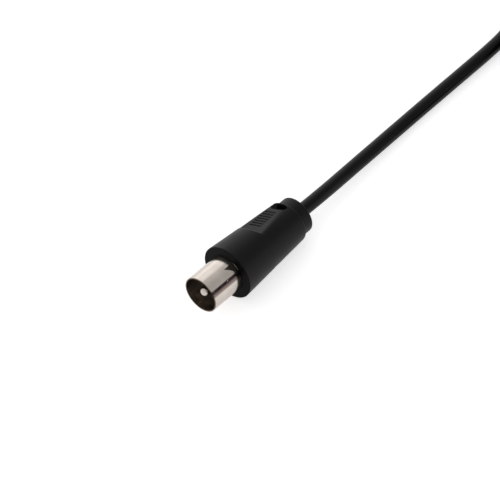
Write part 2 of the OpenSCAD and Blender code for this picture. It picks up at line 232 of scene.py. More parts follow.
def grid_quads(rows, columns, close_rows=False, close_columns=False):
    """The corners of each cell of a grid whose points are numbered row by row."""
    i = np.arange(rows if close_rows else rows - 1)
    j = np.arange(columns if close_columns else columns - 1)
    i, j = np.meshgrid(i, j, indexing="ij")
    i2, j2 = (i + 1) % rows, (j + 1) % columns
    return np.stack([i * columns + j, i * columns + j2, i2 * columns + j2, i2 * columns + j],
                    axis=-1).reshape(-1, 4)


def signed_volume(points, quads):
    """Sum of the pyramids from the origin to each face, positive where faces point outwards."""
    a, b, c, d = (points[quads[:, k]] for k in range(4))
    return (np.einsum("ij,ij->i", a, np.cross(b, c)) + np.einsum("ij,ij->i", a, np.cross(c, d))).sum() / 6


def outward(points, quads):
    """The faces of a closed shape, turned round if they point inwards."""
    return quads[:, ::-1] if signed_volume(points, quads) < 0 else quads


def rings(profile, turn):
    """A profile's points r, z at each angle t round the axis: x = r cos t and y = r sin t, a row a point."""
    r, z = profile[:, :1], profile[:, 1:]
    return np.stack(np.broadcast_arrays(r * np.cos(turn), r * np.sin(turn), z), axis=-1)


def add_piece(name, points, faces, matrix=None, uv=None):
    """Puts points and faces into a smooth mesh at its place and links its object."""
    points = np.asarray(points, dtype=float).reshape(-1, 3)
    if matrix is not None:
        turn = np.array(matrix)
        points = points @ turn[:3, :3].T + turn[:3, 3]
    mesh = bpy.data.meshes.new(name)
    mesh.from_pydata(points.tolist(), [], [list(map(int, face)) for face in faces])
    if uv is not None:
        layer = mesh.uv_layers.new(name="UVMap")
        corner = np.empty(len(mesh.loops), dtype=np.int32)
        mesh.loops.foreach_get("vertex_index", corner)
        layer.data.foreach_set("uv", np.asarray(uv, dtype=np.float32)[corner].ravel())
    mesh.polygons.foreach_set("use_smooth", np.full(len(mesh.polygons), True))
    mesh.update()
    mesh.validate()
    piece = bpy.data.objects.new(name, mesh)
    bpy.context.scene.collection.objects.link(piece)
    return piece


def dress(piece, slot, *nodes):
    """Gives a piece its finish, makes it ride and hides the CAD nodes it stands for."""
    piece.data.materials.append(finish(slot))
    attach(piece, BODY)
    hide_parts(*nodes)


def give_wall(piece, thickness, rounding):
    """Gives a sheet its wall, inwards from the sheet, and rounds the wall's edges."""
    wall = piece.modifiers.new("Wall", "SOLIDIFY")
    wall.thickness = thickness
    wall.offset = -1
    wall.use_even_offset = True
    bevel = piece.modifiers.new("Rounding", "BEVEL")
    bevel.width = rounding
    bevel.segments = 3
    bevel.limit_method = "ANGLE"
    bevel.angle_limit = math.radians(50)


# Materials

# What the finishes' names begin with, as the CAD nodes' own materials already hold the slots' names
FINISH = "finish_"


def new_finish(name, base, roughness, metallic=0.0, specular=0.5):
    """A Principled material and its node tree."""
    material = bpy.data.materials.new(FINISH + name)
    material.use_nodes = True
    tree = material.node_tree
    shader = tree.nodes["Principled BSDF"]
    shader.inputs["Base Color"].default_value = (*base, 1.0)
    shader.inputs["Roughness"].default_value = roughness
    shader.inputs["Metallic"].default_value = metallic
    shader.inputs["Specular IOR Level"].default_value = specular
    material.diffuse_color = (*base, 1.0)
    return material, tree, shader


def coordinates(tree, kind="Object", scale=(1.0, 1.0, 1.0)):
    """The piece's own coordinates, stretched by scale."""
    source = tree.nodes.new("ShaderNodeTexCoord")
    mapping = tree.nodes.new("ShaderNodeMapping")
    mapping.inputs["Scale"].default_value = scale
    tree.links.new(source.outputs[kind], mapping.inputs["Vector"])
    return mapping.outputs["Vector"]


def noise(tree, vector, scale, detail=3.0, roughness=0.5):
    """A noise texture's value."""
    texture = tree.nodes.new("ShaderNodeTexNoise")
    texture.inputs["Scale"].default_value = scale
    texture.inputs["Detail"].default_value = detail
    texture.inputs["Roughness"].default_value = roughness
    tree.links.new(vector, texture.inputs["Vector"])
    return texture.outputs["Fac"]


def parts(tree, vector):
    """A vector's parts, as outputs named X, Y and Z."""
    node = tree.nodes.new("ShaderNodeSeparateXYZ")
    tree.links.new(vector, node.inputs["Vector"])
    return node.outputs


def computed(tree, operation, *terms):
    """The value that an operation gives for its terms, each an output or a number."""
    node = tree.nodes.new("ShaderNodeMath")
    node.operation = operation
    for socket, term in zip(node.inputs, terms):
        if isinstance(term, bpy.types.NodeSocket):
            tree.links.new(term, socket)
        else:
            socket.default_value = term
    return node.outputs["Value"]


def spread(tree, value, low, high, start=0.3, end=0.7, way="LINEAR"):
    """Maps a value from start..end to low..high, with soft ends if the way is SMOOTHSTEP."""
    node = tree.nodes.new("ShaderNodeMapRange")
    node.interpolation_type = way
    for socket, number in (("From Min", start), ("From Max", end), ("To Min", low), ("To Max", high)):
        node.inputs[socket].default_value = number
    tree.links.new(value, node.inputs["Value"])
    return node.outputs["Result"]


def tint(tree, value, low, high):
    """A colour that runs from low to high with a value."""
    mix = tree.nodes.new("ShaderNodeMix")
    mix.data_type = "RGBA"
    mix.inputs["A"].default_value = (*low, 1.0)
    mix.inputs["B"].default_value = (*high, 1.0)
    tree.links.new(value, mix.inputs["Factor"])
    return mix.outputs["Result"]


def multiplied(tree, first, second):
    """Two colours multiplied."""
    mix = tree.nodes.new("ShaderNodeMix")
    mix.data_type = "RGBA"
    mix.blend_type = "MULTIPLY"
    mix.inputs["Factor"].default_value = 1.0
    tree.links.new(first, mix.inputs["A"])
    tree.links.new(second, mix.inputs["B"])
    return mix.outputs["Result"]


def bump(tree, value, distance, strength, under=None):
    """Turns a height into a bump, on top of another bump if there is one."""
    node = tree.nodes.new("ShaderNodeBump")
    node.inputs["Distance"].default_value = distance
    node.inputs["Strength"].default_value = strength
    tree.links.new(value, node.inputs["Height"])
    if under is not None:
        tree.links.new(under, node.inputs["Normal"])
    return node.outputs["Normal"]


def scaled(base, factor):
    """A colour made lighter or darker."""
    return tuple(min(1.0, part * factor) for part in base)


def vinyl_finish(name, base, roughness, grain_size, grain_depth, specular):
    """Black vinyl: an even colour, a fine grain, and a gloss that varies a little."""
    material, tree, shader = new_finish(name, base, roughness, specular=specular)
    place = coordinates(tree)
    cloud = noise(tree, place, 260.0, detail=4.0)
    tree.links.new(tint(tree, spread(tree, cloud, 0.0, 1.0), scaled(base, 0.82), scaled(base, 1.2)),
                   shader.inputs["Base Color"])
    tree.links.new(spread(tree, cloud, roughness - 0.035, roughness + 0.035), shader.inputs["Roughness"])
    slow = bump(tree, noise(tree, place, 420.0, detail=2.0), 0.03 * MM, 0.35)
    fine = bump(tree, noise(tree, place, 1.0 / grain_size, detail=2.0), grain_depth, 0.6, under=slow)
    tree.links.new(fine, shader.inputs["Normal"])
    return material


def plated_finish(name, base, roughness, streaks, seam=None):
    """Bright plate on drawn sheet: hair lines run along the axis, and a faint cloud tints it.

    Beside a seam at the place given round the sheet, a painted dark reflection darkens the plate.
    """
    material, tree, shader = new_finish(name, base, roughness, metallic=1.0)
    along = coordinates(tree, "UV", (streaks, 1.6, 1.0))
    lines = noise(tree, along, 1.0, detail=5.0, roughness=0.62)
    cloud = noise(tree, coordinates(tree), 330.0, detail=2.0)
    warm = tint(tree, spread(tree, cloud, 0.0, 1.0), scaled(base, 0.93), scaled(base, 1.04))
    scratches = tint(tree, spread(tree, lines, 0.0, 1.0, 0.25, 0.42), (0.72, 0.72, 0.72), (1, 1, 1))
    drawn = multiplied(tree, warm, scratches)
    if seam is not None:
        drawn = multiplied(tree, drawn, cut_edge(tree))
        # painted dark reflection beside the seam, multiplied into the plate's colour
        drawn = multiplied(tree, drawn, seam_painted_reflection(tree, seam))
    tree.links.new(drawn, shader.inputs["Base Color"])
    tree.links.new(spread(tree, lines, roughness * 0.9, roughness * 1.15), shader.inputs["Roughness"])
    tree.links.new(bump(tree, lines, 0.003 * MM, 0.2), shader.inputs["Normal"])
    return material


def cut_edge(tree):
    """White, but dull where the sheet was cut at the mouth, over the first 0.12 mm of it."""
    along = parts(tree, coordinates(tree, "UV"))["Y"]
    return tint(tree, spread(tree, along, 0.0, 1.0, 0.002, 0.012), (0.30, 0.26, 0.24), (1, 1, 1))


def seam_painted_reflection(tree, seam):
    """White, with a painted dark reflection beside the seam: dark lips at the seam and a grey band behind it,
    by the place round the sheet.
    """
    turn = computed(tree, "FRACT", parts(tree, coordinates(tree, "UV"))["X"])
    ramp = tree.nodes.new("ShaderNodeValToRGB")
    # stops of the painted dark reflection, from the seam's lips out to the plain plate
    stops = ((0.04, (1, 1, 1)), (0.12, (0.10, 0.07, 0.09)), (0.42, (0.12, 0.09, 0.11)),
             (0.50, (0.26, 0.22, 0.23)), (0.72, (0.40, 0.36, 0.34)), (0.86, (1, 1, 1)))
    points = ramp.color_ramp.elements
    for place, shade in stops[2:]:
        points.new(place)
    for point, (place, shade) in zip(points, stops):
        point.position = place
        point.color = (*shade, 1.0)
    tree.links.new(spread(tree, turn, 0.0, 1.0, seam - 0.02, seam + 0.06), ramp.inputs["Fac"])
    return ramp.outputs["Color"]


def mottled_finish(name, base, roughness, size, metallic=0.0):
    """A plain finish with a little mottling and unevenness."""
    material, tree, shader = new_finish(name, base, roughness, metallic)
    value = noise(tree, coordinates(tree), 1.0 / size, detail=3.0)
    tree.links.new(tint(tree, spread(tree, value, 0.0, 1.0), scaled(base, 0.85), scaled(base, 1.1)),
                   shader.inputs["Base Color"])
    tree.links.new(spread(tree, value, roughness * 0.8, roughness * 1.2), shader.inputs["Roughness"])
    tree.links.new(bump(tree, value, 0.01 * MM, 0.5), shader.inputs["Normal"])
    return material


def braid_finish(name, base, pitch):
    """Woven wire: two crossing sets of bands, full colour on top and darkened by painted shade between."""
    material, tree, shader = new_finish(name, base, 0.32, metallic=1.0)
    place = coordinates(tree)
    heights = []
    for turn in (35, -35):
        mapping = tree.nodes.new("ShaderNodeMapping")
        mapping.inputs["Rotation"].default_value = (0.0, math.radians(turn), math.radians(turn))
        tree.links.new(place, mapping.inputs["Vector"])
        wave = tree.nodes.new("ShaderNodeTexWave")
        wave.inputs["Scale"].default_value = 1.0 / pitch
        tree.links.new(mapping.outputs["Vector"], wave.inputs["Vector"])
        heights.append(wave.outputs["Fac"])
    weave = computed(tree, "MAXIMUM", *heights)
    # painted shade: the low parts of the weave darken to 0.35 of the colour
    tree.links.new(tint(tree, weave, scaled(base, 0.35), base), shader.inputs["Base Color"])
    tree.links.new(bump(tree, weave, 0.06 * MM, 0.7), shader.inputs["Normal"])
    return material


def make_finishes():
    """Makes every finish, named after its slot, and the matt one of the grip's front face."""
    hue = bpy.context.scene.aerial_colours
    seam = bpy.context.scene.aerial_plug.seam_turn / (2 * math.pi)
    vinyl_finish("black_moulding", tuple(hue.vinyl), 0.38, 0.11 * MM, 0.010 * MM, 0.19)
    vinyl_finish("matt_face", tuple(hue.vinyl), 0.46, 0.11 * MM, 0.010 * MM, 0.06)
    vinyl_finish("cord_jacket", tuple(hue.jacket), 0.22, 0.20 * MM, 0.004 * MM, 0.19)
    vinyl_finish("tie", tuple(hue.tie), 0.34, 0.30 * MM, 0.008 * MM, 0.35)
    plated_finish("nickel", tuple(hue.nickel), 0.17, 90.0, seam)
    plated_finish("nickel_pin", tuple(hue.pin), 0.12, 24.0)
    mottled_finish("dark_insulator", tuple(hue.insulator), 0.45, 0.5 * MM)
    mottled_finish("pale_moulding", tuple(hue.pale), 0.42, 1.2 * MM)
    mottled_finish("pale_core", tuple(hue.core), 0.5, 0.25 * MM)
    mottled_finish("copper_core", tuple(hue.copper), 0.28, 0.4 * MM, metallic=1.0)
    mottled_finish("solder", tuple(hue.solder), 0.36, 0.6 * MM, metallic=1.0)
    braid_finish("copper_braid", tuple(hue.copper), 0.5 * MM)


def finish(name):
    """The finish of that name, made with all the others at the first call."""
    if FINISH + name not in bpy.data.materials:
        make_finishes()
    return bpy.data.materials[FINISH + name]


# Shapes


def smooth_min(a, b, reach):
    """The smaller of two values, blended by a parabola where they differ by less than reach."""
    overlap = np.maximum(reach - np.abs(a - b), 0.0) / reach
    return np.minimum(a, b) - overlap ** 2 * reach / 4


def smooth_step(u):
    """Rises from 0 to 1 as u goes from 0 to 1, level at both ends."""
    u = np.clip(u, 0.0, 1.0)
    return u * u * (3 - 2 * u)


def inside(distance, edge):
    """1 where distance is well inside a border, 0 outside, over the width edge."""
    return np.clip(distance / edge + 0.5, 0.0, 1.0)


def arc(centre_r, centre_z, radius, start, end, count):
    """Points on an arc in the plane of a profile, as columns r and z, angles in degrees."""
    turn = np.radians(np.linspace(start, end, count))
    return np.column_stack([centre_r + radius * np.cos(turn), centre_z + radius * np.sin(turn)])


def line(r0, z0, r1, z1, count):
    """Points between two ends of a profile, without the ends themselves."""
    share = np.linspace(0, 1, count + 2)[1:-1, None]
    return np.array([[r0, z0]]) * (1 - share) + np.array([[r1, z1]]) * share


def pad_level(plug, z):
    """Distance of a pad's plane from the axis: a ramp down to the crease, then a slow rise."""
    crease = plug_places(plug)["crease"]
    ramp = plug.pad_height + (crease - z) / math.tan(plug.ramp_lean)
    rise = plug.pad_height + (z - crease) * math.tan(plug.pad_slope)
    return -smooth_min(-ramp, -rise, 0.10 * MM)


def flank_radius(plug, z):
    """Radius of the tapered flank at distance z from the mouth."""
    return plug.grip_diameter / 2 - (z - plug.sleeve_length) * math.tan(plug.grip_taper)


def window_reach(plug, z, side):
    """How far the window reaches across the pad at z.

    The side is 1 where the window is shifted to and -1 away from it. The outline is a rounded oval with
    blunt ends, |y / a|^3 + |z / b|^3 = 1.
    """
    half = plug.window_length / 2
    middle = plug_places(plug)["crease"] + plug.window_start + half
    share = np.clip(np.abs(z - middle) / half, 0.0, 0.95)
    return (plug.window_span / 2 + side * plug.window_shift) * (1 - share ** 3) ** (1 / 3)


def slot_middles(plug):
    """Distances of the slots' middles from the mouth."""
    first = plug_places(plug)["crease"] + plug.slot_start
    return first + np.arange(plug.slots) * plug.slot_pitch


def face_place(plug):
    """Distance of the grip's front face from the mouth."""
    return plug.sleeve_length - plug.grip_lip


def grip_profile(plug):
    """Outside of the grip from the sleeve to the cord as points r, z.

    Rows stand close together over the ramp and on both sides of each wall of a slot or window.
    """
    at = plug_places(plug)
    face = face_place(plug)
    sleeve = plug.sleeve_diameter / 2
    rim = plug.rim_round
    rim_z = face + rim
    lift = axis_lift(plug)
    rim_r = (lift - rim - rim_z * math.sin(plug.grip_taper)) / math.cos(plug.grip_taper)
    taper = math.degrees(plug.grip_taper)
    edge, land = 0.03 * MM, 0.10 * MM
    walls = []
    for middle in slot_middles(plug):
        half = plug.slot_width / 2
        walls += [middle + side * (half + off) for side in (-1, 1) for off in (land, edge, -edge)] + [middle]
    front = at["crease"] + plug.window_start
    back = front + plug.window_length
    walls += [front + off for off in (-land, -edge, edge, land, 2 * land, 3 * land, 4.5 * land)]
    walls += np.linspace(back - plug.window_ramp, back, 12).tolist() + [back + edge, back + land]
    ramp_top = at["crease"] - 1.35 * MM
    end_round = 0.2 * MM
    flank_end = at["grip_end"] - end_round
    flank = np.concatenate([
        np.linspace(rim_z + 0.15 * MM, ramp_top, 24)[:-1],
        np.linspace(ramp_top, at["crease"] + 0.12 * MM, 34)[:-1],
        np.linspace(at["crease"] + 0.12 * MM, slot_middles(plug)[0] - 0.45 * MM, 6),
        np.linspace(slot_middles(plug)[-1] + 0.5 * MM, front - 0.25 * MM, 6),
        np.linspace(front + 0.2 * MM, flank_end, 9),
        [z for z in walls if z < flank_end],
    ])
    flank = np.unique(np.round(flank, 8))
    collar_r = plug.collar_diameter / 2
    fillet = 0.25 * MM
    collar_start = at["grip_end"] + fillet
    collar_end = at["rear"] - plug.collar_round
    collar = np.concatenate([np.linspace(collar_start, collar_end, 9),
                             [z for z in walls if collar_start < z < collar_end]])
    collar = np.unique(np.round(collar, 8))
    end_r = flank_radius(plug, at["grip_end"])
    cord = bpy.context.scene.aerial_cord.diameter / 2
    return np.concatenate([
        [[sleeve - 0.1 * MM, face + 0.08 * MM], [sleeve - 0.04 * MM, face + 0.01 * MM]],
        line(sleeve - 0.02 * MM, face, rim_r, face, 6),
        arc(rim_r, rim_z, rim, -90, taper, 9),
        np.column_stack([flank_radius(plug, flank), flank]),
        arc(end_r - end_round, flank_end, end_round, 15, 88, 5),
        line(end_r - end_round, at["grip_end"], collar_r + fillet, at["grip_end"] + 0.02 * MM, 2),
        arc(collar_r + fillet, collar_start + 0.01 * MM, fillet, -92, -175, 5),
        np.column_stack([np.full(len(collar), collar_r), collar]),
        arc(collar_r - plug.collar_round, collar_end, plug.collar_round, 8, 90, 9),
        line(collar_r - plug.collar_round, at["rear"], cord, at["rear"], 4),
        [[cord + 0.04 * MM, at["rear"] - 0.005 * MM], [cord, at["rear"] - 0.06 * MM]],
    ])


def grip_lines(plug, z, radius, side):
    """Angles on the flank's circle of a quarter's lines, from the middle of a pad to the side.

    Lines run straight along the pad, close together at the ends of the slots and at the pad's edge. An
    angle is the arc sine of the line's distance from the pad's middle over the circle's radius.
    """
    at = plug_places(plug)
    crease = at["crease"]
    front = crease + plug.window_start
    slot_half = plug.slot_span / 2
    blend = smooth_step((z - (front - 0.9 * MM)) / (0.85 * MM))
    end = slot_half + (window_reach(plug, z, side) - slot_half) * blend
    level = plug.pad_height + np.maximum(z - crease, 0.0) * math.tan(plug.pad_slope)
    level = level - side * 3 * MM * math.tan(plug.pad_tilt)
    reference = np.minimum(z, at["grip_end"])
    reference_r = flank_radius(plug, np.maximum(reference, crease))
    half = np.sqrt(np.maximum(reference_r ** 2 - level ** 2, 0.0)) * radius / reference_r
    half = np.maximum(half, end + 0.6 * MM)
    middle = np.linspace(0, 1, 9)[None, :] * (end - 0.10 * MM)[:, None]
    walls = end[:, None] + np.array([-0.03, 0.03, 0.10])[None, :] * MM
    share = np.linspace(0, 1, 6)[None, 1:]
    plain = (end + 0.10 * MM)[:, None] * (1 - share) + (half - 0.32 * MM)[:, None] * share
    rim = half[:, None] + np.array([-0.2, -0.1, 0.0, 0.1, 0.2, 0.32])[None, :] * MM
    across = np.concatenate([middle, walls, plain, rim], axis=1)
    bend = np.arcsin(np.clip(across / radius[:, None], 0.0, 0.98))
    share = np.linspace(0, 1, 25)[None, 1:]
    flank = bend[:, -1:] * (1 - share) + (math.pi / 2) * share
    return np.concatenate([bend, flank], axis=1)


def grip_shell(plug):
    """The moulded grip.

    Outside, a point at angle t on the circle of radius R is moved to x = the smaller of R cos t and the
    pad's level, blended, and y = R sin t. Slots and window then move it along x alone, so their walls
    stand square to the pad. The profile runs on through the bore and closes on itself.
    """
    at = plug_places(plug)
    profile = grip_profile(plug)
    cord = bpy.context.scene.aerial_cord.diameter / 2
    neck = plug.sleeve_diameter / 2 - plug.sleeve_wall
    tail = plug.inner_tail_diameter / 2
    radius, z = profile[:, 0], profile[:, 1]
    plain_z = np.clip(z, face_place(plug) + plug.rim_round, at["rear"] - plug.collar_round)
    plain_r = np.where(plain_z < at["grip_end"], flank_radius(plug, plain_z), plug.collar_diameter / 2)
    near = grip_lines(plug, plain_z, plain_r, 1)
    far = grip_lines(plug, plain_z, plain_r, -1)
    turn = np.concatenate([near, math.pi - far[:, -2::-1], math.pi + near[:, 1:],
                           2 * math.pi - far[:, -2:0:-1]], axis=1)
    y = radius[:, None] * np.sin(turn)
    across = y * np.sign(np.cos(turn))
    level = pad_level(plug, z)[:, None] - across * math.tan(plug.pad_tilt)
    flat = smooth_min(level, radius[:, None] * np.abs(np.cos(turn)), plug.pad_round)
    edge = 0.06 * MM
    cut = np.zeros_like(y)
    for middle in slot_middles(plug):
        along = inside(plug.slot_width / 2 - np.abs(z - middle), edge)[:, None]
        cut = np.maximum(cut, along * inside(plug.slot_span / 2 - np.abs(y), edge))
    flat = flat - cut * plug.slot_depth
    front = at["crease"] + plug.window_start
    back = front + plug.window_length
    reach = np.where(across > 0, window_reach(plug, z, 1)[:, None], window_reach(plug, z, -1)[:, None])
    open_share = inside(z - front, edge)[:, None] * inside(reach - np.abs(across), edge)
    climb = np.clip((z - back + plug.window_ramp) / plug.window_ramp, 0.0, 1.0)[:, None]
    bed = cord + plug.window_skin
    bed = bed + np.maximum(flat - bed, 0.0) * climb ** 1.5
    flat = flat + np.minimum(bed - flat, 0.0) * open_share
    outside = np.stack([np.sign(np.cos(turn)) * flat, y, np.broadcast_to(z[:, None], y.shape)], axis=-1)
    bore = np.array([[cord, at["inner_end"]], [tail, at["inner_end"]], [tail, at["claw_end"]],
                     [neck, at["neck_end"]], [neck, at["neck"]]])
    points = np.concatenate([outside, rings(bore, turn[-1])])
    quads = grid_quads(*points.shape[:2], close_rows=True, close_columns=True)
    points = points.reshape(-1, 3)
    return points, outward(points, quads)


def sleeve_radius(plug, z):
    """Outside radius of the sleeve at z: plain, then stepped in by its wall."""
    at = plug_places(plug)
    full = plug.sleeve_diameter / 2
    return np.interp(z, [at["step"], at["neck"]], [full, full - plug.sleeve_wall])


def sleeve_sheet(plug):
    """The outside of the rolled sleeve as one sheet from lip to lip of its seam.

    At angle t and distance z, x = r cos t and y = r sin t with the sleeve's radius r at z. Columns go round
    from the seam's one edge to the other. In front of the notch the rows are squeezed to end at its
    slanting edge, which climbs in proportion to the chord from the straight edge. The cells behind that
    edge are left out.
    """
    at = plug_places(plug)
    radius = plug.sleeve_diameter / 2
    lip = math.asin(plug.seam_gap / 2 / radius)
    whole = 2 * math.pi
    main = np.linspace(plug.seam_turn + lip, plug.notch_turn + whole, 181)
    notch = np.linspace(plug.notch_turn + whole, plug.seam_turn + whole - lip, 25)[1:]
    turn = np.concatenate([main, notch])
    apex = plug.sleeve_length - plug.notch_length
    back = (plug.sleeve_length + at["neck"]) / 2
    spread_turn = (plug.seam_turn - plug.notch_turn) / 2
    chord = np.sin(turn - whole - plug.notch_turn - spread_turn) / math.sin(spread_turn)
    slant = apex + (back - apex) * (chord + 1) / 2
    slant = np.where(turn > plug.notch_turn + whole, slant, apex)
    share = np.concatenate([[0, 0.012, 0.03], np.linspace(0.06, 1, 16)])
    front = share[:, None] * slant[None, :]
    middle = np.concatenate([np.linspace(apex, at["step"], 9)[1:], [back]])
    rear = np.linspace(at["neck"], at["neck_end"], 8)
    rest = np.concatenate([middle, rear[:1], rear[:1] + 0.15 * MM, rear[1:]])
    z = np.concatenate([front, np.repeat(rest[:, None], len(turn), axis=1)])
    r = sleeve_radius(plug, z)
    points = np.stack([r * np.cos(turn), r * np.sin(turn), z], axis=-1)
    quads = grid_quads(*z.shape)
    row, column = quads[:, 0] // len(turn), quads[:, 0] % len(turn)
    hole = (column >= len(main) - 1) & (row >= len(share) - 1) & (row < len(share) - 1 + len(middle))
    uv = np.stack([np.broadcast_to(turn / whole, z.shape), z / UV_LENGTH], axis=-1)
    return points.reshape(-1, 3), quads[~hole], uv.reshape(-1, 2)


def strip_sheet(plug):
    """The strip from neck to claw: x across it, and y on the circle of a radius that shrinks along it."""
    at = plug_places(plug)
    neck = plug.sleeve_diameter / 2 - plug.sleeve_wall
    claw = plug.braid_diameter / 2 + plug.sleeve_wall
    z = np.linspace(at["neck_end"], at["claw"], 9)[:, None]
    x = np.linspace(-plug.bridge_width / 2, plug.bridge_width / 2, 7)[None, :]
    r = neck + (claw - neck) * (z - at["neck_end"]) / (at["claw"] - at["neck_end"])
    points = np.stack(np.broadcast_arrays(x, -np.sqrt(r ** 2 - x ** 2), z), axis=-1)
    uv = np.stack(np.broadcast_arrays(x / UV_LENGTH, z / UV_LENGTH), axis=-1)
    return points.reshape(-1, 3), grid_quads(*points.shape[:2]), uv.reshape(-1, 2)


def claw_sheet(plug):
    """The claw: most of a circle round the screen, open between its lips, the same all along z."""
    at = plug_places(plug)
    r = plug.braid_diameter / 2 + plug.sleeve_wall
    lip = math.asin(plug.claw_gap / 2 / r)
    turn = np.linspace(math.pi / 2 + lip, 2.5 * math.pi - lip, 41)[None, :]
    z = np.linspace(at["claw"], at["claw_end"], 7)[:, None]
    points = np.stack(np.broadcast_arrays(r * np.cos(turn), r * np.sin(turn), z), axis=-1)
    uv = np.stack(np.broadcast_arrays(turn / (2 * math.pi), z / UV_LENGTH), axis=-1)
    return points.reshape(-1, 3), grid_quads(*points.shape[:2]), uv.reshape(-1, 2)


def join_sheets(*sheets):
    """Several sheets as one set of points, faces and UV places, without unused points."""
    points = np.concatenate([sheet[0] for sheet in sheets])
    offsets = np.cumsum([0] + [len(sheet[0]) for sheet in sheets[:-1]])
    quads = np.concatenate([sheet[1] + offset for sheet, offset in zip(sheets, offsets)])
    uv = np.concatenate([sheet[2] for sheet in sheets])
    used, back = np.unique(quads, return_inverse=True)
    return points[used], back.reshape(quads.shape), uv[used]


def spun(profile, columns):
    """A profile from axis to axis, carried round the axis, with a pole at each end."""
    turn = np.linspace(0, 2 * math.pi, columns, endpoint=False)
    body = profile[1:-1]
    poles = [[0, 0, profile[0, 1]], [0, 0, profile[-1, 1]]]
    points = np.concatenate([rings(body, turn).reshape(-1, 3), poles])
    quads = grid_quads(len(body), columns, close_columns=True)
    here = np.arange(columns)
    after = (here + 1) % columns
    last = (len(body) - 1) * columns
    first_pole, last_pole = len(points) - 2, len(points) - 1
    faces = quads.tolist()
    faces += np.stack([after, here, np.full(columns, first_pole)], axis=-1).tolist()
    faces += np.stack([last + here, last + after, np.full(columns, last_pole)], axis=-1).tolist()
    uv = np.stack([np.arctan2(points[:, 1], points[:, 0]) / (2 * math.pi), points[:, 2] / UV_LENGTH], axis=-1)
    return points, faces, uv


def pin_profile(plug):
    """The pin from its round tip to the bottom of its hole."""
    tip = plug.pin_diameter / 2
    start = plug.pin_setback + tip
    collar = plug.insulator_depth + plug.pin_collar
    end = plug.insulator_depth + plug.insulator_length + plug.pin_reach
    hole = plug.pin_bucket_diameter / 2
    collar_r = plug.pin_collar_diameter / 2
    tail = plug.pin_tail_diameter / 2
    nick = 0.05 * MM
    return np.concatenate([
        arc(0, start, tip, -90, 0, 17),
        line(tip, start, tip, plug.insulator_depth, 6),
        [[tip, plug.insulator_depth - nick], [tip, plug.insulator_depth]],
        [[collar_r - nick, plug.insulator_depth], [collar_r, plug.insulator_depth + nick]],
        [[collar_r, collar - nick], [collar_r - nick, collar], [tail, collar], [tail, collar + nick]],
        line(tail, collar, tail, end, 5),
        [[tail, end - nick], [tail - nick, end], [hole + nick, end], [hole, end - nick]],
        [[hole, end - plug.pin_bucket_depth + nick], [hole - nick, end - plug.pin_bucket_depth]],
        [[0, end - plug.pin_bucket_depth]],
    ])


# Cord


def smooth_route(points, start_way, end_way, spacing):
    """A cubic through the points with the given ways at its ends, sampled at an even spacing.

    Each span is a Hermite cubic whose slopes are the mean of the chords on both sides.
    """
    points = np.asarray(points, dtype=float)
    chord = np.diff(points, axis=0)
    gap = np.linalg.norm(chord, axis=1)
    slope = np.empty_like(points)
    inner = chord / gap[:, None]
    weight = gap[1:, None] + gap[:-1, None]
    slope[1:-1] = (inner[:-1] * gap[1:, None] + inner[1:] * gap[:-1, None]) / weight
    slope[0], slope[-1] = start_way, end_way
    u = np.linspace(0, 1, 40, endpoint=False)[None, :, None]
    a, b = points[:-1, None], points[1:, None]
    ma, mb = slope[:-1, None] * gap[:, None, None], slope[1:, None] * gap[:, None, None]
    curve = ((2 * u ** 3 - 3 * u ** 2 + 1) * a + (u ** 3 - 2 * u ** 2 + u) * ma
             + (3 * u ** 2 - 2 * u ** 3) * b + (u ** 3 - u ** 2) * mb)
    return even(np.concatenate([curve.reshape(-1, 3), points[-1:]]), spacing)


def even(points, spacing):
    """The same line with its points an even distance apart."""
    run = np.concatenate([[0], np.cumsum(np.linalg.norm(np.diff(points, axis=0), axis=1))])
    count = max(2, int(round(run[-1] / spacing)) + 1)
    where = np.linspace(0, run[-1], count)
    return np.stack([np.interp(where, run, points[:, k]) for k in range(3)], axis=-1)


def axis_point(plug, z, x=0.0, y=0.0, heading=0.0):
    """The point on a lying plug's axis at distance z from its mouth."""
    return np.array(lay_matrix(plug, x, y, heading) @ Vector((0, 0, z)))


def axis_way(plug, heading=0.0):
    """The way that a lying plug's axis points, from mouth to cord."""
    taper = plug.grip_taper
    return np.array([math.cos(taper) * math.cos(heading), math.cos(taper) * math.sin(heading),
                     -math.sin(taper)])


# The cells that the turns of the coil fill, as column from the hole and row from the floor, in order
COIL_CELLS = [(3, 1), (2, 1), (1, 1), (1, 2), (2, 2), (2, 3), (1, 3), (1, 4), (2, 4), (2, 5), (3, 4),
              (3, 3), (3, 2)]
# How wide a change of cell is round the coil, and how much earlier the next turn makes room for it
CHANGE_WIDTH = math.radians(46)
CHANGE_LEAD = math.radians(11.6)


def change_starts(cord, steps):
    """How far round its turn each change of cell begins.

    The last turns change first, right after the cord has left the coil, and each corner in the order of
    cells makes the turn before it wait, so that a turn has always moved away before another takes its cell.
    """
    sweep = (cord.join_turn - cord.leave_turn) % (2 * math.pi)
    starts = np.empty(len(steps))
    starts[-1] = sweep
    for k in range(len(steps) - 2, -1, -1):
        straight = steps[k] == steps[k + 1]
        starts[k] = starts[k + 1] + (0 if straight else CHANGE_LEAD)
    return starts


